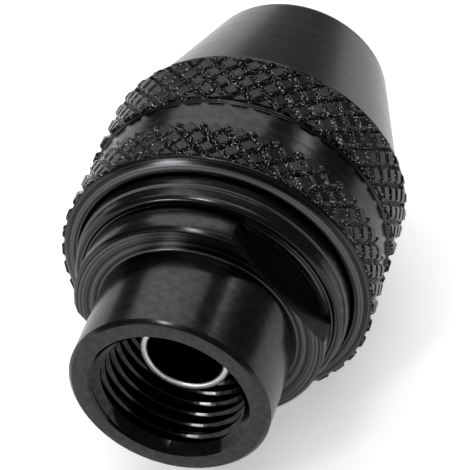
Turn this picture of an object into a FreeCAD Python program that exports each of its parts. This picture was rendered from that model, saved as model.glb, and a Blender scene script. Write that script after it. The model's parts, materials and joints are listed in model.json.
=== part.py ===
import FreeCAD, Part
import math
import os
from FreeCAD import Vector

# Keyless three-jaw chuck for a small rotary tool. Millimetres.
# Frame: the spindle axis is Y, the rear face of the thread collar is at Y = 0,
# and the nose points towards +Y. Z is up with the chuck lying on its grip bands.

# ---- driving dimensions -------------------------------------------------
# spindle end
THREAD_MINOR_R = 3.6        # M8 x 0.75 internal thread, minor radius
MOUTH_R = 4.1               # chamfered mouth of the thread
THREAD_DEPTH = 7.6
THROUGH_BORE_R = 2.2        # bit passage from the spigot to the nose
COLLAR_R, COLLAR_END = 5.1, 5.05
FLANGE_R, FLANGE_END = 6.5, 6.57
FLAT_DISTANCE = 5.3         # axis to each wrench flat
FLAT_AZIMUTH = 39.0         # from +X towards +Z
EDGE_CHAMFER = 0.2

# centring spigot, pressed into the web behind the jaws
SPIGOT_R, SPIGOT_BORE_R = 2.33, 1.95
SPIGOT_START, SPIGOT_END = 2.87, 10.2

# rear collar ring, pressed on the body
RING_SEAT_R = 6.55
RING_START, RING_STEP, RING_END = 6.77, 7.57, 9.0
RING_REAR_R, RING_FRONT_R = 7.0, 7.15
RELIEF_R = 6.2              # narrow groove between flange and ring

# body barrel, bearing seat and nose
BARREL_R, BARREL_END = 7.17, 12.3
NECK_R = 6.2
FRONT_WALL_R, FRONT_WALL_END = 6.0, 18.3
NOSE_R, NOSE_START, NOSE_END = 4.2, 22.9, 25.6

# thrust bearing between the body shoulder and the nut
RACE_BORE_R, RACE_R, RACE_THICKNESS = 6.3, 7.12, 0.4
BALL_R, BALL_COUNT, ROLLING_GAP = 0.3, 30, 0.02
CAGE_THICKNESS, CAGE_BORE_R, CAGE_R, CAGE_POCKET_R = 0.3, 6.25, 7.17, 0.33

# jaws
JAW_COUNT = 3
JAW_AZIMUTH = 90.0          # first jaw points up
JAW_ANGLE = 15.0            # jaw axis to spindle axis
JAW_R = 1.4
JAW_BORE_CLEARANCE = 0.05
LAND_LENGTH = 6.5           # gripping land when the jaw ends behind its tip
OPEN_R, CLOSED_R = 1.7, 0.4  # gripping radius: clears a 3.2 mm shank open, 0.8 mm closed
TIP_OPEN = 24.93            # jaw tip along Y, fully open
JAW_REAR = 10.63            # where the jaw axis meets its rear end, fully open
FLANK_GAP = 0.03            # half the gap between closed jaws
TIP_CHAMFER = 0.5

# jaw thread: pitch is measured along the jaw
JAW_PITCH = 1.0
TOOTH_OVERLAP = 0.42        # radial engagement of nut and jaw
TOOTH_RELIEF = 0.09         # radial clearance at each root
FLANK_CLEARANCE = 0.06      # axial clearance on each flank
FLANK_ANGLE = 18.0
TOOTH_ARC = 40.0            # wider than a jaw
CUTTER_OVERRUN = 0.14       # cutter runs this far past a crest
NECK_CLEARANCE = 0.12       # nut crests to body neck

# nut, split in two halves and pressed in the sleeve
NUT_END = 17.0
NUT_SPLIT_ANGLE = 1.0       # taken by each saw cut
NUT_SPLIT_AZIMUTH = 30.0
NUT_FRONT_CLEARANCE = 0.08
GROOVE_SWEEP = 200.0        # each turn's arc runs past both split faces

# sleeve
SLEEVE_BORE_R = 7.25
SLEEVE_REAR, SLEEVE_END = 8.25, 25.3
GRIP_R = 8.25               # over both knurled bands
GRIP_BAND_1 = (8.6, 11.0)
GRIP_BAND_2 = (13.1, 16.4)
WAIST_R = 7.95              # smooth band between the knurled ones
RIM_R, RIM_END = 8.12, 16.7
CONE_BASE_R, CONE_TIP_R = 7.9, 5.25
SLEEVE_INNER_CONE_R = 6.4
SLEEVE_NOSE_CLEARANCE = 0.05
NOSE_EDGE = 0.3             # broken front edge of the sleeve

# ---- derived dimensions -------------------------------------------------
ANGLE = math.radians(JAW_ANGLE)
TRAVEL_Y = (OPEN_R - CLOSED_R) / math.tan(ANGLE)
AXIAL_PITCH = JAW_PITCH * math.cos(ANGLE)
JAW_HALF_WIDTH = JAW_R / math.cos(ANGLE)
TIP_AXIS_R = CLOSED_R + JAW_HALF_WIDTH - LAND_LENGTH * math.tan(ANGLE)
APEX_Y = TIP_OPEN + TRAVEL_Y + TIP_AXIS_R / math.tan(ANGLE)
RACE_END = BARREL_END + RACE_THICKNESS
BALL_Y = RACE_END + ROLLING_GAP + BALL_R
BALL_RING_R = (RACE_BORE_R + RACE_R) / 2
NUT_START = BALL_Y + BALL_R + ROLLING_GAP
FRONT_WALL_START = NUT_END + NUT_FRONT_CLEARANCE
SLEEVE_NOSE_R = NOSE_R + SLEEVE_NOSE_CLEARANCE

ORIGIN = Vector(0, 0, 0)
AXIS = Vector(0, 1, 0)


def jaw_reach(y):
    """Radius of the outermost line of a jaw at a station along Y."""
    return (APEX_Y - y) * math.tan(ANGLE) + JAW_HALF_WIDTH


def pitch_line(y):
    """Radius of the thread's pitch cone at a station along Y."""
    return jaw_reach(y) - TOOTH_OVERLAP / 2


def nut_crest(y):
    return jaw_reach(y) - TOOTH_OVERLAP


def flat_face(points):
    """Flat face in the XY plane inside a closed outline of (x, y) points."""
    corners = [Vector(x, y, 0) for x, y in points]
    return Part.Face(Part.makePolygon(corners + corners[:1]))


def turned(points, sweep=360):
    """Solid of revolution about Y from a closed outline of (radius, y) points.

    Less than a full turn is centred on the X axis."""
    solid = flat_face(points).revolve(ORIGIN, AXIS, sweep)
    if sweep < 360:
        solid.rotate(ORIGIN, AXIS, -sweep / 2)
    return solid


def tube(inner_r, outer_r, start, end):
    return turned([(inner_r, start), (outer_r, start), (outer_r, end), (inner_r, end)])


def at_azimuth(shape, degrees):
    """Turn a shape built along +X to an azimuth measured from +X towards +Z."""
    moved = shape.copy()
    moved.rotate(ORIGIN, AXIS, -degrees)
    return moved


def jaw_cylinder(radius, rear_y, front_y):
    """Cylinder on the inclined jaw axis in the XY plane, pointing to the nose."""
    start = Vector((APEX_Y - rear_y) * math.tan(ANGLE), rear_y, 0)
    direction = Vector(-math.sin(ANGLE), math.cos(ANGLE), 0)
    return Part.makeCylinder(radius, (front_y - rear_y) / math.cos(ANGLE), start, direction)


def thread_section(y, wide_side):
    """Outline of a trapezoid centred on the pitch cone at a station along Y.

    It widens outwards where wide_side is 1 and inwards where it is -1."""
    slope = math.tan(math.radians(FLANK_ANGLE))
    half = AXIAL_PITCH / 4 + FLANK_CLEARANCE / 2
    deep = TOOTH_OVERLAP / 2 + TOOTH_RELIEF
    open_side = TOOTH_OVERLAP / 2 + CUTTER_OVERRUN
    return [
        (pitch_line(y) + side * wide_side, y + width)
        for side, width in (
            (open_side, half + open_side * slope),
            (open_side, -half - open_side * slope),
            (-deep, -half + deep * slope),
            (-deep, half - deep * slope),
        )
    ]


def groove_arc(front_y, azimuth, sweep):
    """Left-hand groove on the pitch cone, winding rearwards from front_y at an azimuth."""
    height = AXIAL_PITCH * sweep / 360
    helix = Part.makeHelix(AXIAL_PITCH, height, pitch_line(front_y), JAW_ANGLE, True)
    helix.rotate(ORIGIN, Vector(1, 0, 0), 90)
    helix.translate(AXIS * front_y)
    section = flat_face(thread_section(front_y, -1)).OuterWire
    groove = Part.Wire(helix).makePipeShell([section], True, True)
    return at_azimuth(groove, azimuth)


def tooth_space(y):
    """Short arc of the nut's ridge across a jaw that lies along +X, with its clearance."""
    lead = math.degrees(math.atan(AXIAL_PITCH / (2 * math.pi * pitch_line(y))))
    space = turned(thread_section(y, 1), TOOTH_ARC)
    space.rotate(AXIS * y, Vector(1, 0, 0), -lead)
    return space


def body():
    shell = turned([
        (MOUTH_R, 0), (COLLAR_R - EDGE_CHAMFER, 0), (COLLAR_R, EDGE_CHAMFER),
        (COLLAR_R, COLLAR_END), (FLANGE_R, COLLAR_END), (FLANGE_R, FLANGE_END),
        (RELIEF_R, FLANGE_END), (RELIEF_R, RING_START), (RING_SEAT_R, RING_START),
        (RING_SEAT_R, RING_END), (BARREL_R, RING_END), (BARREL_R, BARREL_END),
        (NECK_R, BARREL_END), (NECK_R, NUT_START - ROLLING_GAP),
        (nut_crest(NUT_START) - NECK_CLEARANCE, NUT_START - ROLLING_GAP),
        (nut_crest(FRONT_WALL_START) - NECK_CLEARANCE, FRONT_WALL_START),
        (FRONT_WALL_R, FRONT_WALL_START), (FRONT_WALL_R, FRONT_WALL_END),
        (NOSE_R, NOSE_START), (NOSE_R, NOSE_END - EDGE_CHAMFER),
        (NOSE_R - EDGE_CHAMFER, NOSE_END), (THROUGH_BORE_R, NOSE_END),
        (THROUGH_BORE_R, SPIGOT_END), (SPIGOT_R, SPIGOT_END), (SPIGOT_R, THREAD_DEPTH),
        (THREAD_MINOR_R, THREAD_DEPTH), (THREAD_MINOR_R, MOUTH_R - THREAD_MINOR_R),
    ])
    cutters = []
    bore = jaw_cylinder(JAW_R + JAW_BORE_CLEARANCE, JAW_REAR - JAW_BORE_CLEARANCE, NOSE_END + 3)
    cutters += [at_azimuth(bore, JAW_AZIMUTH + 360 / JAW_COUNT * i) for i in range(JAW_COUNT)]
    slab = Part.makeBox(FLANGE_R, FLANGE_END - COLLAR_END, 2 * FLANGE_R,
                        Vector(FLAT_DISTANCE, COLLAR_END, -FLANGE_R))
    cutters += [at_azimuth(slab, FLAT_AZIMUTH + turn) for turn in (0, 180)]
    return shell.cut(cutters)


def centring_spigot():
    lip = (SPIGOT_R - SPIGOT_BORE_R) / 4
    return turned([
        (SPIGOT_BORE_R, SPIGOT_START + lip), (SPIGOT_BORE_R + lip, SPIGOT_START),
        (SPIGOT_R - lip, SPIGOT_START), (SPIGOT_R, SPIGOT_START + lip),
        (SPIGOT_R, SPIGOT_END), (SPIGOT_BORE_R, SPIGOT_END),
    ])


def rear_collar_ring():
    return turned([
        (RING_SEAT_R, RING_START), (RING_REAR_R - EDGE_CHAMFER, RING_START),
        (RING_REAR_R, RING_START + EDGE_CHAMFER), (RING_REAR_R, RING_STEP),
        (RING_FRONT_R, RING_STEP), (RING_FRONT_R, RING_END), (RING_SEAT_R, RING_END),
    ])


def thrust_race():
    return tube(RACE_BORE_R, RACE_R, BARREL_END, RACE_END)


def ball_centres():
    step = 2 * math.pi / BALL_COUNT
    return [Vector(BALL_RING_R * math.cos(i * step), BALL_Y, BALL_RING_R * math.sin(i * step))
            for i in range(BALL_COUNT)]


def thrust_balls():
    return Part.makeCompound([Part.makeSphere(BALL_R, centre) for centre in ball_centres()])


def ball_cage():
    ring = tube(CAGE_BORE_R, CAGE_R, BALL_Y - CAGE_THICKNESS / 2, BALL_Y + CAGE_THICKNESS / 2)
    pockets = [Part.makeCylinder(CAGE_POCKET_R, 2 * CAGE_THICKNESS, centre - AXIS * CAGE_THICKNESS, AXIS)
               for centre in ball_centres()]
    return ring.cut(pockets)


def jaw_blank():
    """One jaw along +X at the fully open position, before its teeth are cut."""
    rod = jaw_cylinder(JAW_R, JAW_REAR, TIP_OPEN + 3)
    # its two flanks would meet on a line parallel to the spindle axis
    half_sector = math.radians(180 / JAW_COUNT)
    apex = OPEN_R - CLOSED_R + FLANK_GAP / math.sin(half_sector)
    spread = GRIP_R * math.tan(half_sector)
    sector = Part.makePolygon([Vector(apex, 0, 0), Vector(apex + GRIP_R, 0, spread),
                               Vector(apex + GRIP_R, 0, -spread), Vector(apex, 0, 0)])
    wedge = Part.Face(sector).extrude(AXIS * TIP_OPEN)
    grip = Part.makeCylinder(OPEN_R, TIP_OPEN, ORIGIN, AXIS)
    # the tip ends square, with its outer edge broken
    edge_x = JAW_HALF_WIDTH + TIP_AXIS_R + TRAVEL_Y * math.tan(ANGLE)
    profile = flat_face([
        (0, 0), (edge_x + GRIP_R, 0), (edge_x + GRIP_R, TIP_OPEN - TIP_CHAMFER - GRIP_R),
        (edge_x - TIP_CHAMFER, TIP_OPEN), (0, TIP_OPEN),
    ])
    profile.translate(Vector(0, 0, -GRIP_R))
    outline = profile.extrude(Vector(0, 0, 2 * GRIP_R))
    return rod.common(wedge).cut(grip).common(outline)


def jaw(azimuth):
    """A jaw whose tooth spaces line up with the nut's ridges at its azimuth."""
    stations = [NUT_END + AXIAL_PITCH * (azimuth / 360 - turn)
                for turn in range(int(NUT_END / AXIAL_PITCH))]
    spaces = [tooth_space(y) for y in stations
              if JAW_REAR - AXIAL_PITCH < y < NUT_END + AXIAL_PITCH / 2]
    return at_azimuth(jaw_blank().cut(spaces), azimuth)


def nut_half(azimuth):
    """Half of the nut, centred on an azimuth, with its stretch of the groove in each turn."""
    half = at_azimuth(turned([
        (nut_crest(NUT_START), NUT_START), (SLEEVE_BORE_R, NUT_START),
        (SLEEVE_BORE_R, NUT_END), (nut_crest(NUT_END), NUT_END),
    ], 180 - NUT_SPLIT_ANGLE), azimuth)
    start = azimuth + GROOVE_SWEEP / 2
    turns = int((NUT_END - NUT_START) / AXIAL_PITCH) + 3
    for turn in range(turns):
        front_y = NUT_END + AXIAL_PITCH * (start / 360 + 0.5 - turn)
        half = half.cut(groove_arc(front_y, start, GROOVE_SWEEP))
    return half


def sleeve():
    rear_land, rear_chamfer_r = 0.2, 8.05
    band_edge = 0.1
    return turned([
        (SLEEVE_BORE_R, SLEEVE_REAR), (SLEEVE_BORE_R + rear_land, SLEEVE_REAR),
        (rear_chamfer_r, GRIP_BAND_1[0] - band_edge), (GRIP_R - band_edge, GRIP_BAND_1[0]),
        (GRIP_R, GRIP_BAND_1[0] + band_edge), (GRIP_R, GRIP_BAND_1[1]),
        (WAIST_R, GRIP_BAND_1[1]), (WAIST_R, GRIP_BAND_2[0]), (GRIP_R, GRIP_BAND_2[0]),
        (GRIP_R, GRIP_BAND_2[1]), (RIM_R, GRIP_BAND_2[1]), (RIM_R, RIM_END),
        (CONE_BASE_R, RIM_END), (CONE_TIP_R, SLEEVE_END - NOSE_EDGE),
        (CONE_TIP_R - NOSE_EDGE, SLEEVE_END), (SLEEVE_NOSE_R, SLEEVE_END),
        (SLEEVE_NOSE_R, NOSE_START), (SLEEVE_INNER_CONE_R, FRONT_WALL_END),
        (SLEEVE_INNER_CONE_R, NUT_END), (SLEEVE_BORE_R, NUT_END),
    ])


def save(name, shape):
    shape.exportStep(os.path.join("parts", name + ".step"))


def main():
    os.makedirs("parts", exist_ok=True)
    save("body", body())
    save("centring_spigot", centring_spigot())
    save("rear_collar_ring", rear_collar_ring())
    save("thrust_race", thrust_race())
    save("thrust_balls", thrust_balls())
    save("ball_cage", ball_cage())
    for i in range(JAW_COUNT):
        save(f"jaw_{i + 1}", jaw(JAW_AZIMUTH + 360 / JAW_COUNT * i))
    save("nut_half_a", nut_half(NUT_SPLIT_AZIMUTH))
    save("nut_half_b", nut_half(NUT_SPLIT_AZIMUTH + 180))
    save("sleeve", sleeve())


main()
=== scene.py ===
import json
import math

import bpy
import bmesh
from mathutils import Matrix, Vector


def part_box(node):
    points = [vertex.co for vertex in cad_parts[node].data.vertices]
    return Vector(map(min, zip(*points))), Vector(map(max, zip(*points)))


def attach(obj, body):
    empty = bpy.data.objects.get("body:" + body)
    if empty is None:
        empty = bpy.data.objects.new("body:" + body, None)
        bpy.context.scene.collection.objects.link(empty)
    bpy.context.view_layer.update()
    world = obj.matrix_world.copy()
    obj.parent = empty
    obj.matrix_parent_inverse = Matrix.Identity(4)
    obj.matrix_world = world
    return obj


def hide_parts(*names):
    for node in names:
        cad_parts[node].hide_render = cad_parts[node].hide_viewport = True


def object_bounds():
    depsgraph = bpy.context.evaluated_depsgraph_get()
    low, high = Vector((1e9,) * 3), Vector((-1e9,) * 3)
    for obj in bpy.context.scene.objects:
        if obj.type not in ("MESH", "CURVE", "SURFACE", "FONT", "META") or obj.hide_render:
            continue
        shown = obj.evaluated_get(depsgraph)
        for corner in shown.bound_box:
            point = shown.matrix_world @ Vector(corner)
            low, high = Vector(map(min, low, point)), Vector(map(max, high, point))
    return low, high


bl_info = {
    "name": "Keyless Drill Chuck",
    "version": (1, 0, 0),
    "blender": (4, 5, 0),
    "location": "3D View > Sidebar > Chuck",
    "description": "Visible surfaces of a small keyless drill chuck, on its fixed frame",
    "category": "Object",
}

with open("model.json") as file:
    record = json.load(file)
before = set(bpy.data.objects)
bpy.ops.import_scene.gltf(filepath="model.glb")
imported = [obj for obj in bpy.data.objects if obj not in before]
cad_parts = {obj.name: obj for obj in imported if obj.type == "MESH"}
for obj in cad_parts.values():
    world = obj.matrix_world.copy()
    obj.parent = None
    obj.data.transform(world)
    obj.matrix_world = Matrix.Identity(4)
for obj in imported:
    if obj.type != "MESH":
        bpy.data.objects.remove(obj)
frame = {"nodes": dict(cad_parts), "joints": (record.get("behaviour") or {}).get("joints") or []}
CAD_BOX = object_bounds()

# ---- sizes, in metres -----------------------------------------------------
# The spindle axis is Y, with the rear face at Y = 0 and the nose towards +Y.
MM = 0.001
SEGMENTS = 192              # sides of a turned shape
TINY = 1e-7
REST_BOXES = {name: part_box(name) for name in frame["nodes"]}

COLLAR_R, COLLAR_END = 5.1 * MM, 5.05 * MM
MOUTH_R, THREAD_MINOR_R, BORE_END = 4.1 * MM, 3.6 * MM, 7.6 * MM
FLANGE_R, FLANGE_END = 6.5 * MM, 6.57 * MM
RELIEF_R = 6.2 * MM         # narrow groove between the flange and the collar ring
RING_SEAT_R = 6.55 * MM
RING_REAR_R, RING_STEP = 7.0 * MM, 7.57 * MM
FLAT_DISTANCE, FLAT_AZIMUTH = 5.3 * MM, math.radians(39)
SPIGOT_R, SPIGOT_BORE_R, THROUGH_BORE_R = 2.33 * MM, 1.95 * MM, 2.2 * MM
NECK_R, NECK_FRONT_R, NECK_CONE_END_R = 6.2 * MM, 5.42 * MM, 4.42 * MM
FRONT_WALL_R, FRONT_WALL_END = 6.0 * MM, 18.3 * MM
NUT_FRONT_CLEARANCE = 0.08 * MM
NOSE_R, NOSE_START = 4.2 * MM, 22.9 * MM
JAW_COUNT, JAW_ANGLE = 3, math.radians(15)
JAW_BORE_R, JAW_BORE_START = 1.45 * MM, 10.58 * MM
JAW_APEX = 30.18 * MM       # where the jaws' axes cross the spindle axis
EDGE_CHAMFER = 0.2 * MM
GRIP_BANDS = ((8.6 * MM, 11.0 * MM), (13.1 * MM, 16.4 * MM))


def radius_of(node):
    """Outer radius of a turned node about the spindle axis."""
    return REST_BOXES[node][1].x


def start_of(node):
    """Where a node starts along the spindle axis."""
    return REST_BOXES[node][0].y


def end_of(node):
    """Where a node ends along the spindle axis."""
    return REST_BOXES[node][1].y


def axis_distance(point):
    """Distance of a point from the spindle axis."""
    return math.hypot(point.x, point.z)


def in_grip_band(point):
    return any(low - TINY <= point.y <= high + TINY for low, high in GRIP_BANDS)


def direction_at(azimuth, elevation):
    """Unit vector turned from +Y towards +X by the azimuth, then raised."""
    return Vector((math.sin(azimuth) * math.cos(elevation),
                   math.cos(azimuth) * math.cos(elevation), math.sin(elevation)))


def linear(hex_colour):
    """sRGB hex to a linear RGBA colour."""
    values = [int(hex_colour[i:i + 2], 16) / 255 for i in (1, 3, 5)]
    return [v / 12.92 if v <= 0.04045 else ((v + 0.055) / 1.055) ** 2.4 for v in values] + [1]


# ---- settings ---------------------------------------------------------------
class ChuckThreadSettings(bpy.types.PropertyGroup):
    major_radius: bpy.props.FloatProperty(
        name="Thread radius", description="Root radius of the M8 internal thread",
        default=4.0 * MM, unit="LENGTH")
    pitch: bpy.props.FloatProperty(
        name="Pitch", description="Distance between turns", default=0.75 * MM, unit="LENGTH")
    depth: bpy.props.FloatProperty(
        name="Depth", description="How far the thread runs in from the rear face",
        default=7.2 * MM, unit="LENGTH")


class ChuckKnurlSettings(bpy.types.PropertyGroup):
    start_turn: bpy.props.FloatProperty(
        name="Start turn", description="How far the first diamond stands from the top",
        default=math.radians(-2.1), subtype="ANGLE")
    round_count: bpy.props.IntProperty(
        name="Diamonds round", description="Diamonds in one row round the sleeve", default=40)
    row_pitch: bpy.props.FloatProperty(
        name="Row pitch", description="Length of one diamond along the sleeve",
        default=1.36 * MM, unit="LENGTH")
    height: bpy.props.FloatProperty(
        name="Height", description="Depth of the rolled grooves", default=0.26 * MM, unit="LENGTH")
    wall_run: bpy.props.FloatProperty(
        name="Groove wall", description="Width of a groove's sloping wall seen from above",
        default=0.17 * MM, unit="LENGTH")
    crest_run: bpy.props.FloatProperty(
        name="Rounded edge", description="Width of the rounded edge of a crest",
        default=0.05 * MM, unit="LENGTH")


class ChuckFinishSettings(bpy.types.PropertyGroup):
    oxide: bpy.props.FloatVectorProperty(
        name="Black oxide", description="Darker tone of the blackened steel",
        default=linear("#2c2c2d"), subtype="COLOR", size=4)
    oxide_pale: bpy.props.FloatVectorProperty(
        name="Pale oxide", description="Paler tone of the blackened steel",
        default=linear("#363638"), subtype="COLOR", size=4)
    # Painted glints: pale specks put on the knurl walls to stand for sparkle highlights.
    painted_glint: bpy.props.FloatVectorProperty(
        name="Painted glints", description="Pale specks painted on the knurl walls as glints",
        default=linear("#c0c0c2"), subtype="COLOR", size=4)
    edge_break: bpy.props.FloatProperty(
        name="Edge break", description="Width of the broken edges", default=0.08 * MM,
        unit="LENGTH")


class ChuckStageSettings(bpy.types.PropertyGroup):
    azimuth: bpy.props.FloatProperty(
        name="Azimuth", description="Camera turned from +Y, as seen from above",
        default=math.radians(15.24), subtype="ANGLE")
    elevation: bpy.props.FloatProperty(
        name="Elevation", description="How far the camera looks down",
        default=math.radians(43.22), subtype="ANGLE")
    distance: bpy.props.FloatProperty(
        name="Distance", description="Camera to the point it looks at",
        default=110 * MM, unit="LENGTH")
    aim_offset: bpy.props.FloatVectorProperty(
        name="Aim offset", description="From the chuck's middle to the point looked at",
        default=(1.66 * MM, -6.6 * MM, 5.6 * MM), subtype="TRANSLATION", size=3)
    lens: bpy.props.FloatProperty(
        name="Lens", description="Focal length in mm on a 36 mm sensor", default=174.2)


# ---- small modelling helpers --------------------------------------------------
def deselect_all():
    if bpy.context.object and bpy.context.object.mode != "OBJECT":
        bpy.ops.object.mode_set(mode="OBJECT")
    bpy.ops.object.select_all(action="DESELECT")


def activate(obj):
    deselect_all()
    obj.select_set(True)
    bpy.context.view_layer.objects.active = obj
    return obj


def edit(obj, mode="VERT"):
    """Enter edit mode on an object with everything in it selected."""
    activate(obj)
    bpy.ops.object.mode_set(mode="EDIT")
    bpy.ops.mesh.select_mode(type=mode)
    bpy.ops.mesh.select_all(action="SELECT")


def leave_edit():
    bpy.ops.object.mode_set(mode="OBJECT")


def apply_place(obj):
    """Leave the object at the origin, unturned and unscaled, with its place in its mesh."""
    activate(obj)
    bpy.ops.object.transform_apply(location=True, rotation=True, scale=True)


def select_open_edges():
    bpy.ops.mesh.select_all(action="DESELECT")
    bpy.ops.mesh.select_non_manifold(
        extend=False, use_wire=False, use_boundary=True, use_multi_face=False,
        use_non_contiguous=False, use_verts=False)


def apply_modifier(obj, kind, name, **settings):
    activate(obj)
    modifier = obj.modifiers.new(name, kind)
    for key, value in settings.items():
        setattr(modifier, key, value)
    bpy.ops.object.modifier_apply(modifier=name)


def name_piece(obj, name):
    obj.name = name
    obj.data.name = name
    return obj


def turned(name, outline, segments=SEGMENTS):
    """A closed ring lathed about Y: a circle drawn out and in through (radius, y) points."""
    deselect_all()
    first_r, first_y = outline[0]
    bpy.ops.mesh.primitive_circle_add(
        vertices=segments, radius=first_r, location=(0, first_y, 0),
        rotation=(math.pi / 2, 0, 0))
    ring = name_piece(bpy.context.object, name)
    apply_place(ring)
    edit(ring, "EDGE")
    radius, y = first_r, first_y
    for next_r, next_y in outline[1:]:
        bpy.ops.mesh.extrude_region_move(
            TRANSFORM_OT_translate={"value": (0, next_y - y, 0)})
        scale = next_r / radius
        bpy.ops.transform.resize(value=(scale, 1, scale), center_override=(0, next_y, 0))
        radius, y = next_r, next_y
    select_open_edges()
    bpy.ops.mesh.bridge_edge_loops()
    bpy.ops.mesh.select_all(action="SELECT")
    bpy.ops.mesh.normals_make_consistent(inside=False)
    leave_edit()
    return ring


def cut_away(piece, cutter):
    """Boolean difference of a cutter, which is then deleted."""
    apply_modifier(piece, "BOOLEAN", "cut", operation="DIFFERENCE", object=cutter,
                   solver="EXACT")
    activate(cutter)
    bpy.ops.object.delete()


def break_edges(piece, width, segments=2, angle=30):
    """Small rounded edges, which catch the light as machined edges do."""
    apply_modifier(piece, "BEVEL", "edges", width=width, segments=segments,
                   limit_method="ANGLE", angle_limit=math.radians(angle),
                   harden_normals=False, use_clamp_overlap=True)


def smooth(piece, angle=28):
    """Smooth shading below an angle, with the large faces kept true."""
    activate(piece)
    bpy.ops.object.shade_smooth_by_angle(angle=math.radians(angle))
    apply_modifier(piece, "WEIGHTED_NORMAL", "true_faces", keep_sharp=True, weight=100)


def finish_piece(piece, materials, body, slot, *nodes):
    """Give a piece its materials and its body, and hide the CAD nodes that it stands for."""
    for material in materials:
        piece.data.materials.append(material)
    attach(piece, body)
    if nodes:
        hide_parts(*nodes)


def paint_faces(piece, index, test):
    """Give the faces whose centre and normal pass a test another material slot."""
    for face in piece.data.polygons:
        if test(face.center, face.normal):
            face.material_index = index


# ---- materials --------------------------------------------------------------
SPOT_SIZE = 0.35            # uneven blackening, in millimetres
MOTTLE_SIZE = 0.6           # mottling of the brass, in millimetres
GRINDING_LINES = 14.0       # grinding marks to a millimetre


def add_node(tree, kind, settings=None, links=None, values=None):
    """Add a node with its settings, its input values and its incoming links."""
    node = tree.nodes.new(kind)
    for key, value in (settings or {}).items():
        setattr(node, key, value)
    for key, value in (values or {}).items():
        node.inputs[key].default_value = value
    for key, source in (links or {}).items():
        tree.links.new(source, node.inputs[key])
    return node


def new_material(name):
    """An empty material with its shader joined to its output."""
    material = bpy.data.materials.new(name)
    material.use_nodes = True
    tree = material.node_tree
    tree.nodes.clear()
    shader = add_node(tree, "ShaderNodeBsdfPrincipled")
    output = add_node(tree, "ShaderNodeOutputMaterial")
    tree.links.new(shader.outputs["BSDF"], output.inputs["Surface"])
    return material, tree, shader


def lathe_lines(tree, lines_per_mm, detail=3.0):
    """Noise that varies only with radius and station along Y, so it draws rings."""
    place = add_node(tree, "ShaderNodeTexCoord")
    parts = add_node(tree, "ShaderNodeSeparateXYZ", links={"Vector": place.outputs["Object"]})
    flat = add_node(tree, "ShaderNodeCombineXYZ",
                    links={"X": parts.outputs["X"], "Y": parts.outputs["Z"]})
    radius = add_node(tree, "ShaderNodeVectorMath", {"operation": "LENGTH"},
                      {"Vector": flat.outputs["Vector"]})
    rings = add_node(tree, "ShaderNodeCombineXYZ",
                     links={"X": radius.outputs["Value"], "Y": parts.outputs["Y"]})
    return add_node(tree, "ShaderNodeTexNoise", links={"Vector": rings.outputs["Vector"]},
                    values={"Scale": lines_per_mm / MM, "Detail": detail, "Roughness": 0.6})


def oxide_steel(name, tones, coat, rough, grain_size, grain_depth, tone_from="spots",
                tone_range=(0.42, 0.62), rings_per_mm=6.0):
    """Hot black oxide on steel: a thin oiled film that reflects like dark metal and keeps
    the marks of the tool that made the surface. Sizes are in millimetres. The tool's feed
    marks are finer than 6 to a millimetre, and are drawn that coarse so that they show."""
    material, tree, shader = new_material(name)
    shader.inputs["Metallic"].default_value = 1.0
    shader.inputs["Specular Tint"].default_value = linear("#dadadb")
    shader.inputs["Coat Weight"].default_value = coat
    shader.inputs["Coat Roughness"].default_value = 0.15
    place = add_node(tree, "ShaderNodeTexCoord")
    rings = lathe_lines(tree, rings_per_mm)
    fine = add_node(tree, "ShaderNodeTexNoise", links={"Vector": place.outputs["Object"]},
                    values={"Scale": 1 / (grain_size * MM), "Detail": 6.0, "Roughness": 0.55})
    spots = add_node(tree, "ShaderNodeTexNoise", links={"Vector": place.outputs["Object"]},
                     values={"Scale": 1 / (SPOT_SIZE * MM), "Detail": 4.0, "Roughness": 0.55})
    pattern = {"rings": rings, "grain": fine, "spots": spots}[tone_from]
    share = add_node(tree, "ShaderNodeMapRange", links={"Value": pattern.outputs["Fac"]},
                     values={"From Min": tone_range[0], "From Max": tone_range[1]})
    tone = add_node(tree, "ShaderNodeMix", {"data_type": "RGBA"},
                    {"Factor": share.outputs["Result"]})
    tone.inputs["A"].default_value, tone.inputs["B"].default_value = tones
    tree.links.new(tone.outputs["Result"], shader.inputs["Base Color"])
    gloss = add_node(tree, "ShaderNodeMapRange", links={"Value": rings.outputs["Fac"]},
                     values={"From Min": 0.3, "From Max": 0.7, "To Min": rough - 0.05,
                             "To Max": rough + 0.07})
    tree.links.new(gloss.outputs["Result"], shader.inputs["Roughness"])
    bump = add_node(tree, "ShaderNodeBump", links={"Height": fine.outputs["Fac"]},
                    values={"Strength": 1.0, "Distance": grain_depth * MM})
    tree.links.new(bump.outputs["Normal"], shader.inputs["Normal"])


def bright_steel(name, colour, rough, ring_depth):
    """Ground steel left bright: pale, fairly sharp reflections with fine rings."""
    material, tree, shader = new_material(name)
    shader.inputs["Metallic"].default_value = 1.0
    shader.inputs["Base Color"].default_value = linear(colour)
    rings = lathe_lines(tree, GRINDING_LINES)
    gloss = add_node(tree, "ShaderNodeMapRange", links={"Value": rings.outputs["Fac"]},
                     values={"From Min": 0.3, "From Max": 0.7, "To Min": rough - 0.05,
                             "To Max": rough + 0.07})
    tree.links.new(gloss.outputs["Result"], shader.inputs["Roughness"])
    bump = add_node(tree, "ShaderNodeBump", links={"Height": rings.outputs["Fac"]},
                    values={"Strength": 1.0, "Distance": ring_depth * MM})
    tree.links.new(bump.outputs["Normal"], shader.inputs["Normal"])


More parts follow.
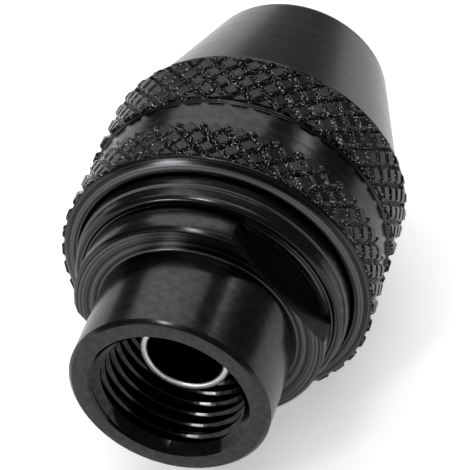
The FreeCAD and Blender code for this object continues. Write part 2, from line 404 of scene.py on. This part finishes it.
def rolled_brass(name):
    """Stamped sheet brass: warm, satin, lightly mottled."""
    material, tree, shader = new_material(name)
    shader.inputs["Metallic"].default_value = 1.0
    shader.inputs["Roughness"].default_value = 0.32
    place = add_node(tree, "ShaderNodeTexCoord")
    mottle = add_node(tree, "ShaderNodeTexNoise", links={"Vector": place.outputs["Object"]},
                      values={"Scale": 1 / (MOTTLE_SIZE * MM), "Detail": 4.0,
                              "Roughness": 0.55})
    tone = add_node(tree, "ShaderNodeMix", {"data_type": "RGBA"},
                    {"Factor": mottle.outputs["Fac"]})
    tone.inputs["A"].default_value = linear("#c79a4b")
    tone.inputs["B"].default_value = linear("#ddb767")
    tree.links.new(tone.outputs["Result"], shader.inputs["Base Color"])


def painted_floor(name):
    """Matt white studio floor."""
    material, tree, shader = new_material(name)
    shader.inputs["Base Color"].default_value = linear("#f4f4f4")
    shader.inputs["Roughness"].default_value = 0.9
    shader.inputs["Specular IOR Level"].default_value = 0.2
    shader.inputs["Emission Color"].default_value = linear("#ffffff")
    shader.inputs["Emission Strength"].default_value = 0.40


# ---- pieces -------------------------------------------------------------------
def thread_tool(thread):
    """The spindle thread's groove as a solid: a tapered section screwed about Y."""
    crest = 0.45 * MM           # runs a little past the minor radius
    half_root = thread.pitch / 16
    half_mouth = half_root + crest * math.tan(math.radians(30))
    deselect_all()
    bpy.ops.mesh.primitive_plane_add(size=1, location=(thread.major_radius - crest / 2, 0, 0))
    tool = name_piece(bpy.context.object, "thread_tool")
    tool.scale = (crest, 2 * half_mouth, 1)
    apply_place(tool)
    edit(tool, "VERT")
    bpy.ops.mesh.select_all(action="DESELECT")
    mesh = bmesh.from_edit_mesh(tool.data)
    for vertex in mesh.verts:
        vertex.select = vertex.co.x > thread.major_radius - crest / 2
    mesh.select_flush_mode()
    bmesh.update_edit_mesh(tool.data)
    squeeze = half_root / half_mouth
    bpy.ops.transform.resize(value=(1, squeeze, 1), center_override=(thread.major_radius, 0, 0))
    bpy.ops.mesh.select_all(action="SELECT")
    bpy.ops.mesh.delete(type="ONLY_FACE")
    leave_edit()
    turns = math.ceil(thread.depth / thread.pitch) + 2
    apply_modifier(tool, "SCREW", "screw", axis="Y", angle=2 * math.pi,
                   screw_offset=thread.pitch, iterations=turns, steps=72, render_steps=72,
                   use_smooth_shade=False)
    edit(tool, "EDGE")
    bpy.ops.mesh.remove_doubles(threshold=TINY)
    select_open_edges()
    bpy.ops.mesh.edge_face_add()
    bpy.ops.mesh.select_all(action="SELECT")
    bpy.ops.mesh.normals_make_consistent(inside=False)
    leave_edit()
    length = tool.bound_box[6][1] - tool.bound_box[0][1]
    tool.location.y = thread.depth - length
    apply_place(tool)
    return tool


def slab_tool(size, location, turn):
    """A block turned about the spindle axis, which mills one wrench flat."""
    deselect_all()
    bpy.ops.mesh.primitive_cube_add(size=1, location=location)
    tool = bpy.context.object
    tool.scale = size
    apply_place(tool)
    tool.rotation_euler.y = -turn
    apply_place(tool)
    return tool


def jaw_bore_tool(turn, reach):
    """A drill on a jaw's axis, from its blind end out through the nose to a point."""
    axis = next(j for j in frame["joints"] if j["name"] == "jaw_a_slide")["axis"]
    spin = Matrix.Rotation(-turn, 3, "Y")
    direction = spin @ Vector(axis)
    front = spin @ reach
    length = (front.y - JAW_BORE_START) / math.cos(JAW_ANGLE)
    deselect_all()
    bpy.ops.mesh.primitive_cylinder_add(
        vertices=64, radius=JAW_BORE_R, depth=length,
        location=front - direction * length / 2,
        rotation=direction.to_track_quat("Z", "Y").to_euler())
    tool = bpy.context.object
    apply_place(tool)
    return tool


class CHUCK_OT_body(bpy.types.Operator):
    """Model the body: threaded collar, flange with flats, barrel and nose"""
    bl_idname = "chuck.body"
    bl_label = "Body"

    def execute(self, context):
        settings = context.scene.chuck_thread
        finish = context.scene.chuck_finish
        ring_start, ring_end = start_of("rear_collar_ring"), end_of("rear_collar_ring")
        barrel_r, barrel_end = radius_of("body"), start_of("thrust_race")
        neck_end = start_of("nut_half_a")
        nut_end = end_of("nut_half_a") + NUT_FRONT_CLEARANCE
        nose_end = end_of("body")
        chamfer = EDGE_CHAMFER
        fillet = 0.1 * MM
        fillet_middle = 0.03 * MM
        body = turned("chuck_body_shell", [
            (MOUTH_R, 0), (COLLAR_R - chamfer, 0), (COLLAR_R, chamfer),
            (COLLAR_R, COLLAR_END - fillet),
            (COLLAR_R + fillet_middle, COLLAR_END - fillet_middle),
            (COLLAR_R + fillet, COLLAR_END), (FLANGE_R - chamfer, COLLAR_END),
            (FLANGE_R, COLLAR_END + chamfer), (FLANGE_R, FLANGE_END), (RELIEF_R, FLANGE_END),
            (RELIEF_R, ring_start), (RING_SEAT_R, ring_start), (RING_SEAT_R, ring_end),
            (barrel_r, ring_end), (barrel_r, barrel_end), (NECK_R, barrel_end),
            (NECK_R, neck_end), (NECK_FRONT_R, neck_end), (NECK_CONE_END_R, nut_end),
            (FRONT_WALL_R, nut_end), (FRONT_WALL_R, FRONT_WALL_END), (NOSE_R, NOSE_START),
            (NOSE_R, nose_end - chamfer), (NOSE_R - chamfer, nose_end),
            (THROUGH_BORE_R, nose_end), (THROUGH_BORE_R, end_of("centring_spigot")),
            (SPIGOT_R, end_of("centring_spigot")), (SPIGOT_R, BORE_END),
            (THREAD_MINOR_R, BORE_END), (THREAD_MINOR_R, MOUTH_R - THREAD_MINOR_R),
        ])
        overrun = 0.002 * MM
        for side in (0, math.pi):
            cut_away(body, slab_tool(
                (FLANGE_R, FLANGE_END - COLLAR_END + overrun, 2 * FLANGE_R),
                (FLAT_DISTANCE + FLANGE_R / 2, (COLLAR_END + FLANGE_END) / 2, 0),
                FLAT_AZIMUTH + side))
        reach = Vector((0, nose_end + 3 * MM, 0))
        reach.z = (JAW_APEX - reach.y) * math.tan(JAW_ANGLE)
        for i in range(JAW_COUNT):
            cut_away(body, jaw_bore_tool(2 * math.pi / JAW_COUNT * i, reach))
        break_edges(body, finish.edge_break)
        cut_away(body, thread_tool(settings))
        smooth(body)
        finish_piece(body, [bpy.data.materials["black_oxide_turned"],
                            bpy.data.materials["oxide_thread_and_bore_shade"],
                            bpy.data.materials["black_oxide_faced"]],
                     "chuck_body", "black_oxide_steel", "body")
        paint_faces(body, 2, lambda centre, normal: abs(normal.y) > 0.6
                    and centre.y > COLLAR_END - fillet)
        # The bore's thread faces get the darker thread finish, whose tone is painted shade in the
        # bore.
        paint_faces(body, 1, lambda centre, normal: centre.y < BORE_END
                    and axis_distance(centre) < MOUTH_R - 0.05 * MM)
        return {"FINISHED"}


class CHUCK_OT_spigot(bpy.types.Operator):
    """Model the bright centring spigot that stands in the thread"""
    bl_idname = "chuck.spigot"
    bl_label = "Centring spigot"

    def execute(self, context):
        outer, bore = radius_of("centring_spigot"), SPIGOT_BORE_R
        start, end = start_of("centring_spigot"), end_of("centring_spigot")
        lip = (outer - bore) / 5
        spigot = turned("spigot_tube", [
            (bore, start + lip), (bore + lip, start), (outer - lip, start),
            (outer, start + lip), (outer, end), (bore, end)], 128)
        break_edges(spigot, lip / 3)
        smooth(spigot)
        finish_piece(spigot, [bpy.data.materials["ground_bright_steel"],
                              bpy.data.materials["oxide_thread_and_bore_shade"]],
                     "chuck_body", "bright_steel", "centring_spigot")
        # The tube's bore gets the dark thread finish: painted shade inside the bright steel tube.
        paint_faces(spigot, 1, lambda centre, normal: centre.y > start + 2 * lip
                    and axis_distance(centre) < bore + lip)
        return {"FINISHED"}


class CHUCK_OT_collar_ring(bpy.types.Operator):
    """Model the pressed ring between the flange and the sleeve"""
    bl_idname = "chuck.collar_ring"
    bl_label = "Rear collar ring"

    def execute(self, context):
        start, end = start_of("rear_collar_ring"), end_of("rear_collar_ring")
        front_r = radius_of("rear_collar_ring")
        ring = turned("rear_ring_shell", [
            (RING_SEAT_R, start), (RING_REAR_R - EDGE_CHAMFER, start),
            (RING_REAR_R, start + EDGE_CHAMFER), (RING_REAR_R, RING_STEP),
            (front_r, RING_STEP), (front_r, end), (RING_SEAT_R, end)])
        break_edges(ring, 0.75 * context.scene.chuck_finish.edge_break)
        smooth(ring)
        finish_piece(ring, [bpy.data.materials["black_oxide_turned"],
                            bpy.data.materials["black_oxide_faced"]],
                     "chuck_body", "black_oxide_steel", "rear_collar_ring")
        paint_faces(ring, 1, lambda centre, normal: abs(normal.y) > 0.6)
        return {"FINISHED"}


def knurled_band(name, knurl, valley_r, start, end):
    """A ring of flat-topped diamonds: one diamond repeated over a flat strip, bent round
    the sleeve, trimmed to the band and closed on the inside."""
    count = knurl.round_count
    length = 2 * math.pi * valley_r
    half_w, half_l = length / count / 2, knurl.row_pitch / 2
    deselect_all()
    bpy.ops.mesh.primitive_circle_add(
        vertices=4, radius=1, fill_type="NGON", rotation=(math.pi / 2, 0, 0))
    strip = name_piece(bpy.context.object, name)
    strip.scale = (half_w, half_l, 1)
    apply_place(strip)
    edit(strip, "FACE")
    crest_height = 0.86 * knurl.height      # the rounded edge takes the rest
    bpy.ops.mesh.inset(thickness=knurl.wall_run, depth=crest_height)
    bpy.ops.mesh.inset(thickness=knurl.crest_run, depth=knurl.height - crest_height)
    leave_edit()
    rows = math.ceil((end - start) / knurl.row_pitch) + 2
    for step, number in (((2 * half_w, 0, 0), count), ((0, 0, 2 * half_l), rows)):
        apply_modifier(strip, "ARRAY", "repeat", use_relative_offset=False,
                       use_constant_offset=True, constant_offset_displace=step, count=number)
    edit(strip, "FACE")
    bpy.ops.mesh.duplicate_move(TRANSFORM_OT_translate={"value": (half_w, 0, half_l)})
    leave_edit()
    strip.location = (-(length - half_w) / 2, 0, start - knurl.row_pitch)
    apply_place(strip)
    turn = 2 * math.pi * (length + half_w) / length
    apply_modifier(strip, "SIMPLE_DEFORM", "bend", deform_method="BEND", deform_axis="Z",
                   angle=turn)
    strip.location.y = -valley_r
    apply_place(strip)
    strip.rotation_euler.x = -math.pi / 2
    apply_place(strip)
    strip.rotation_euler.y = knurl.start_turn
    apply_place(strip)
    edit(strip, "FACE")
    bpy.ops.mesh.remove_doubles(threshold=0.002 * MM)
    for station, clear_inner in ((start, True), (end, False)):
        bpy.ops.mesh.select_all(action="SELECT")
        bpy.ops.mesh.bisect(plane_co=(0, station, 0), plane_no=(0, 1, 0), use_fill=False,
                            clear_inner=clear_inner, clear_outer=not clear_inner,
                            threshold=TINY)
    bpy.ops.mesh.select_mode(type="EDGE")
    select_open_edges()
    bpy.ops.mesh.extrude_region_move()
    sink = 1 - 0.36 * MM / (valley_r + knurl.height)     # carries the edges into the core
    bpy.ops.transform.resize(value=(sink, 1, sink), center_override=(0, 0, 0))
    bpy.ops.mesh.bridge_edge_loops()
    bpy.ops.mesh.select_all(action="SELECT")
    bpy.ops.mesh.normals_make_consistent(inside=False)
    leave_edit()
    return strip


class CHUCK_OT_sleeve(bpy.types.Operator):
    """Model the knurled, tapered sleeve"""
    bl_idname = "chuck.sleeve"
    bl_label = "Sleeve"

    def execute(self, context):
        knurl = context.scene.chuck_knurl
        start, end = start_of("sleeve"), end_of("sleeve")
        grip_r = radius_of("sleeve")
        bore_r = radius_of("nut_half_a")
        nut_end = end_of("nut_half_a")
        valley_r = grip_r - knurl.height
        core_r = valley_r - 0.03 * MM
        waist_r, rim_r = 7.95 * MM, 8.12 * MM
        land_r, lip_r = 8.13 * MM, 8.06 * MM
        cone_r, tip_r = 7.9 * MM, 5.25 * MM
        nose_edge = 0.3 * MM
        relief_r = 6.4 * MM
        (rear_start, rear_end), (front_start, front_end) = GRIP_BANDS
        rim_end = 16.7 * MM
        sleeve = turned("sleeve_shell", [
            (bore_r, start + 0.05 * MM), (bore_r + 0.05 * MM, start),
            (bore_r + 0.2 * MM, start), (land_r - 0.05 * MM, rear_start - 0.06 * MM),
            (land_r, rear_start), (core_r, rear_start + 0.08 * MM),
            (core_r, rear_end - 0.02 * MM),
            (waist_r, rear_end), (waist_r, front_start - 0.12 * MM),
            (lip_r, front_start - 0.06 * MM), (lip_r, front_start),
            (core_r, front_start + 0.06 * MM), (core_r, front_end - 0.05 * MM),
            (rim_r, front_end), (rim_r, rim_end - 0.1 * MM), (rim_r - 0.1 * MM, rim_end),
            (cone_r, rim_end), (cone_r - 0.12 * MM, rim_end + 0.12 * MM),
            (tip_r, end - nose_edge), (tip_r - 0.09 * MM, end - 0.09 * MM),
            (tip_r - nose_edge, end), (NOSE_R + 0.05 * MM, end), (NOSE_R + 0.05 * MM, NOSE_START),
            (relief_r, FRONT_WALL_END), (relief_r, nut_end), (bore_r, nut_end)])
        break_edges(sleeve, 0.04 * MM)
        smooth(sleeve)
        for low, high in GRIP_BANDS:
            band = knurled_band("knurl", knurl, valley_r, low, high)
            deselect_all()
            band.select_set(True)
            sleeve.select_set(True)
            bpy.context.view_layer.objects.active = sleeve
            bpy.ops.object.join()
        finish_piece(sleeve, [bpy.data.materials["black_oxide_satin"],
                              bpy.data.materials["black_oxide_knurl"],
                              bpy.data.materials["black_oxide_knurl_crest"],
                              bpy.data.materials["black_oxide_faced"]],
                     "sleeve_group", "black_oxide_steel", "sleeve")
        crest_r = grip_r - 0.1 * knurl.height
        root_r = core_r - 0.3 * MM
        paint_faces(sleeve, 3, lambda centre, normal: centre.y < rear_start
                    and axis_distance(centre) > bore_r)
        paint_faces(sleeve, 1, lambda centre, normal: in_grip_band(centre)
                    and axis_distance(centre) > root_r)
        paint_faces(sleeve, 2, lambda centre, normal: in_grip_band(centre)
                    and axis_distance(centre) > crest_r)
        return {"FINISHED"}


def smoothed_copy(node, name):
    """A copy of a CAD node with its triangles joined and its round faces smooth."""
    activate(frame["nodes"][node])
    bpy.ops.object.duplicate()
    copy = name_piece(bpy.context.object, name)
    for key in list(copy.keys()):       # marks that only the CAD node carries
        del copy[key]
    copy.data.materials.clear()
    edit(copy)
    bpy.ops.mesh.remove_doubles(threshold=TINY)
    leave_edit()
    smooth(copy, 25)
    return copy


class CHUCK_OT_jaws(bpy.types.Operator):
    """Finish the three hardened jaws"""
    bl_idname = "chuck.jaws"
    bl_label = "Jaws"

    def execute(self, context):
        for number, body in ((1, "jaw_a"), (2, "jaw_b"), (3, "jaw_c")):
            jaw = smoothed_copy(f"jaw_{number}", f"jaw_shell_{number}")
            finish_piece(jaw, [bpy.data.materials["hardened_jaw_steel"]], body, "jaw_steel",
                         f"jaw_{number}")
        return {"FINISHED"}


class CHUCK_OT_inside(bpy.types.Operator):
    """Finish the split nut, the race, the balls and their cage"""
    bl_idname = "chuck.inside"
    bl_label = "Nut and bearing"

    def execute(self, context):
        pieces = (
            ("nut_half_a", "black_oxide_turned", "sleeve_group", "black_oxide_steel"),
            ("nut_half_b", "black_oxide_turned", "sleeve_group", "black_oxide_steel"),
            ("thrust_race", "ground_bright_steel", "chuck_body", "bright_steel"),
            ("thrust_balls", "polished_ball_steel", "ball_set", "bright_steel"),
            ("ball_cage", "rolled_brass", "ball_set", "brass"),
        )
        for node, material, body, slot in pieces:
            copy = smoothed_copy(node, node + "_shell")
            finish_piece(copy, [bpy.data.materials[material]], body, slot, node)
        return {"FINISHED"}


class CHUCK_OT_materials(bpy.types.Operator):
    """Make the finishes"""
    bl_idname = "chuck.materials"
    bl_label = "Finishes"

    def execute(self, context):
        finish = context.scene.chuck_finish
        # film is the darkest tone: on the thread it is painted shade for the dim bore, on the
        # knurl crests the dark end of their grain.
        film = linear("#1e1e1f")
        plain = (finish.oxide, finish.oxide_pale)
        # Turned and satin steel: an even, dark sheen with faint unevenness.
        oxide_steel("black_oxide_turned", plain, 0.2, 0.24, 0.2, 0.0010)
        oxide_steel("black_oxide_satin", plain, 0.2, 0.24, 0.2, 0.0010)
        # Faced ends: the tool's rings show as alternating dark and pale lines.
        oxide_steel("black_oxide_faced", (linear("#1b1b1c"), linear("#505052")), 0.1, 0.20,
                    0.2, 0.0010, "rings", rings_per_mm=8.0)
        # Cut thread: oily and glossy, so its flanks show bright lines. Its tone is darker than the
        # body's steel: painted shade for the dim bore.
        oxide_steel("oxide_thread_and_bore_shade", (film, finish.oxide), 0.2, 0.10, 0.2, 0.0010)
        # Rolled knurl walls: black, rough, with pale specks of a bare-steel tone painted on as
        # glints.
        oxide_steel("black_oxide_knurl", (linear("#131314"), finish.painted_glint), 0.12, 0.14, 0.09,
                    0.12, "grain", (0.56, 0.63))
        # Knurl crests: flattened by the rolling, so duller and nearly even.
        oxide_steel("black_oxide_knurl_crest", (film, finish.oxide_pale), 0.1, 0.26, 0.12,
                    0.02, "grain", (0.35, 0.65))
        bright_steel("ground_bright_steel", "#d6d6d7", 0.38, 0.0010)
        bright_steel("hardened_jaw_steel", "#9c9c9e", 0.28, 0.0010)
        bright_steel("polished_ball_steel", "#d0d0d2", 0.10, 0.0)
        rolled_brass("rolled_brass")
        painted_floor("matt_floor")
        return {"FINISHED"}


def softbox(name, aim, azimuth, elevation, distance, size, power):
    """A rectangular lamp at a direction seen from the chuck, facing it. Angles in degrees."""
    direction = direction_at(math.radians(azimuth), math.radians(elevation))
    deselect_all()
    bpy.ops.object.light_add(type="AREA", location=aim + direction * distance)
    lamp = bpy.context.object
    lamp.name = name
    lamp.rotation_euler = direction.to_track_quat("Z", "Y").to_euler()
    lamp.data.shape = "RECTANGLE"
    lamp.data.size, lamp.data.size_y = size
    lamp.data.energy = power


class CHUCK_OT_stage(bpy.types.Operator):
    """Set up the floor, the lights and the camera"""
    bl_idname = "chuck.stage"
    bl_label = "Stage"

    def execute(self, context):
        stage = context.scene.chuck_stage
        low, high = CAD_BOX
        middle = (Vector(low) + Vector(high)) / 2
        deselect_all()
        bpy.ops.mesh.primitive_plane_add(size=2.0, location=(0, 0, low[2]))
        floor = name_piece(bpy.context.object, "floor")
        apply_place(floor)
        floor.data.materials.append(bpy.data.materials["matt_floor"])

        # name, place aimed at, azimuth, elevation, distance, width and height, watts
        softbox("key_softbox", middle, -22, 36, 0.40, (0.33, 0.28), 0.55)
        softbox("overhead_softbox", middle, 180, 84, 0.50, (0.45, 0.45), 1.3)
        softbox("left_softbox", middle, -88, 52, 0.45, (0.30, 0.30), 0.5)
        softbox("right_strip", middle, 31, 31, 0.40, (0.03, 0.12), 0.06)
        softbox("rear_low_softbox", middle, -152, 9, 0.40, (0.07, 0.08), 0.50)
        softbox("front_lamp", middle, -160, 46, 0.40, (0.05, 0.05), 0.25)

        world = bpy.data.worlds.new("studio")
        context.scene.world = world
        world.use_nodes = True
        background = world.node_tree.nodes["Background"]
        background.inputs["Color"].default_value = (1, 1, 1, 1)
        background.inputs["Strength"].default_value = 0.12

        direction = direction_at(-stage.azimuth, -stage.elevation)
        aim = middle + Vector(stage.aim_offset)
        deselect_all()
        bpy.ops.object.camera_add(location=aim - direction * stage.distance,
                                  rotation=direction.to_track_quat("-Z", "Y").to_euler())
        camera = bpy.context.object
        camera.name = "camera"
        camera.data.lens = stage.lens
        camera.data.sensor_width = 36
        camera.data.clip_start = 0.005
        context.scene.camera = camera
        context.scene.view_settings.view_transform = "Standard"
        return {"FINISHED"}


class CHUCK_PT_panel(bpy.types.Panel):
    """Lists the chuck's pieces and its stage"""
    bl_idname = "CHUCK_PT_panel"
    bl_label = "Drill chuck"
    bl_space_type = "VIEW_3D"
    bl_region_type = "UI"
    bl_category = "Chuck"

    def draw(self, context):
        for operator in OPERATORS:
            self.layout.operator(operator.bl_idname)


OPERATORS = (CHUCK_OT_materials, CHUCK_OT_body, CHUCK_OT_spigot, CHUCK_OT_collar_ring,
             CHUCK_OT_sleeve, CHUCK_OT_jaws, CHUCK_OT_inside, CHUCK_OT_stage)
SETTINGS = {"chuck_thread": ChuckThreadSettings, "chuck_knurl": ChuckKnurlSettings,
            "chuck_finish": ChuckFinishSettings, "chuck_stage": ChuckStageSettings}


def register():
    for cls in (*SETTINGS.values(), *OPERATORS, CHUCK_PT_panel):
        bpy.utils.register_class(cls)
    for name, cls in SETTINGS.items():
        setattr(bpy.types.Scene, name, bpy.props.PointerProperty(type=cls))


def unregister():
    for name in SETTINGS:
        delattr(bpy.types.Scene, name)
    for cls in (CHUCK_PT_panel, *reversed(OPERATORS), *reversed(list(SETTINGS.values()))):
        bpy.utils.unregister_class(cls)


def main():
    register()
    bpy.ops.chuck.materials()
    bpy.ops.chuck.body()
    bpy.ops.chuck.spigot()
    bpy.ops.chuck.collar_ring()
    bpy.ops.chuck.sleeve()
    bpy.ops.chuck.jaws()
    bpy.ops.chuck.inside()
    bpy.ops.chuck.stage()


if __name__ == "__main__":
    main()
